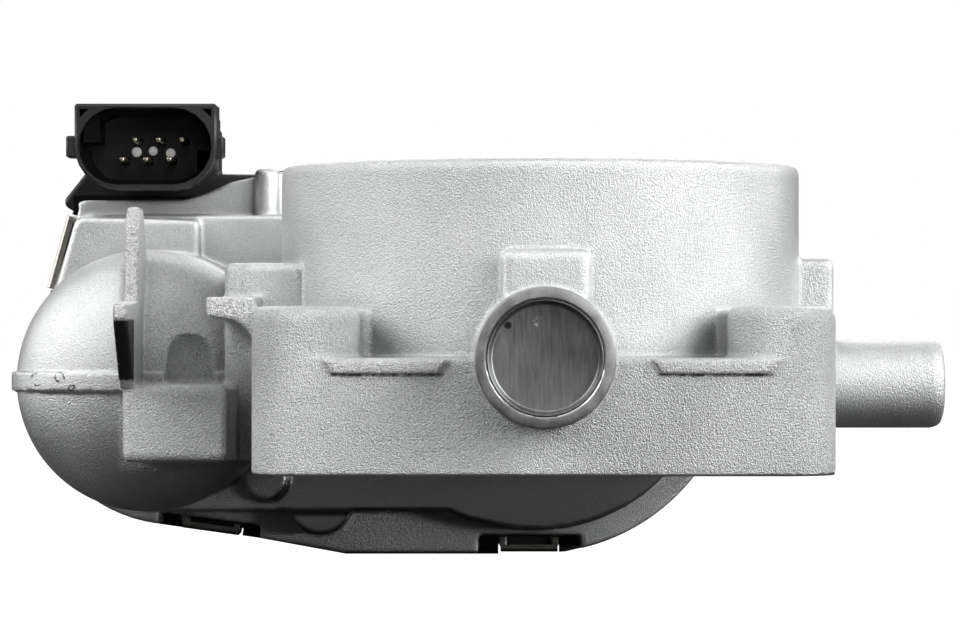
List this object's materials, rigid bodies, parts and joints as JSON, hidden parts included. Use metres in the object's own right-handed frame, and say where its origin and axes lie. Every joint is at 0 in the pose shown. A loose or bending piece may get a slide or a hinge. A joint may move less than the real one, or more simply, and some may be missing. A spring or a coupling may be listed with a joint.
{
  "type": "electronic throttle body",
  "caption": "Cast electronic throttle body: square flange and round air duct with a butterfly plate, turned by a side-mounted motor through gears under a clipped cover with a plug socket.",
  "frame": {"origin": "on the flange's mating face, on its front land, 44.2 mm before the air bore's centre and in the bore's middle plane", "axes": "+Z along the bore towards the intake spigot, +Y along the throttle shaft towards the gear case, -X towards the motor"},
  "size_m": [0.1659, 0.1382, 0.0846],
  "materials": {
    "housing": "as-cast grain with machined bores and faces",
    "bearing_steel": "ground and turned",
    "pressed_steel": "deep drawn, zinc plated",
    "clip_steel": "bent strip, satin",
    "spring_steel": "dark oil-tempered wire",
    "rubber": "matte",
    "cover": "moulded, fine texture",
    "black_plastic": "moulded",
    "gear_plastic": "moulded, ivory",
    "brass": "machined",
    "copper": "wound and turned copper",
    "magnet": "sintered, dark grey",
    "board": "laminate"
  },
  "bodies": {
    "housing": {"housing": "housing", "shaft_end_plug": "bearing_steel", "idle_side_bearing": "bearing_steel", "idle_side_seal": "rubber", "drive_side_seal": "rubber", "drive_side_bearing": "bearing_steel", "spring_sleeve": "black_plastic", "return_spring": "spring_steel", "limp_home_spring": "spring_steel", "closed_stop_screw": "spring_steel", "idler_pin": "bearing_steel", "gear_cover": "cover", "cover_gasket": "rubber", "sensor_board": "board", "cover_clip_left": "clip_steel", "cover_clip_bottom_left": "clip_steel", "cover_clip_bottom": "clip_steel", "cover_clip_right": "clip_steel", "cover_clip_top_right": "clip_steel", "cover_clip_top": "clip_steel", "connector_pin_1": "brass", "connector_pin_2": "brass", "connector_pin_3": "brass", "connector_pin_4": "brass", "connector_pin_5": "brass", "connector_pin_6": "brass", "motor_can": "pressed_steel", "motor_magnet_1": "magnet", "motor_magnet_2": "magnet", "motor_wave_spring": "spring_steel", "motor_end_plate": "pressed_steel", "brush_holder": "black_plastic", "motor_brush_1": "magnet", "motor_brush_2": "magnet", "motor_terminal_1": "brass", "motor_terminal_2": "brass", "motor_screw_1": "bearing_steel", "motor_screw_2": "bearing_steel"},
    "throttle": {"throttle_shaft": "bearing_steel", "throttle_plate": "brass", "plate_screw_1": "bearing_steel", "plate_screw_2": "bearing_steel", "sector_gear": "gear_plastic", "drive_bearing_inner_race": "bearing_steel", "sensor_rotor": "black_plastic"},
    "idler": {"idler_gear": "gear_plastic"},
    "rotor": {"motor_shaft": "bearing_steel", "motor_armature": "copper", "motor_commutator": "copper", "motor_pinion": "brass"}
  },
  "joints": [
    {"name": "throttle_turn", "type": "hinge", "parent": "housing", "child": "throttle", "pos_m": [0, 0.0442, 0.0194], "axis": [0, 1, 0], "range_deg": [-6.5, 76]},
    {"name": "idler_turn", "type": "hinge", "parent": "housing", "child": "idler", "pos_m": [-0.03791, 0.1092, 0.022], "axis": [0, 1, 0], "range_deg": [-245.5, 21.5]},
    {"name": "motor_turn", "type": "hinge", "parent": "housing", "child": "rotor", "pos_m": [-0.0686, 0.0742, 0.0149], "axis": [0, 1, 0], "range_deg": [-111.5, 1298.5]}
  ],
  "couplings": [
    {"joint": "idler_turn", "follows": "throttle_turn", "ratio": -3.2222},
    {"joint": "motor_turn", "follows": "throttle_turn", "ratio": 17.078}
  ]
}
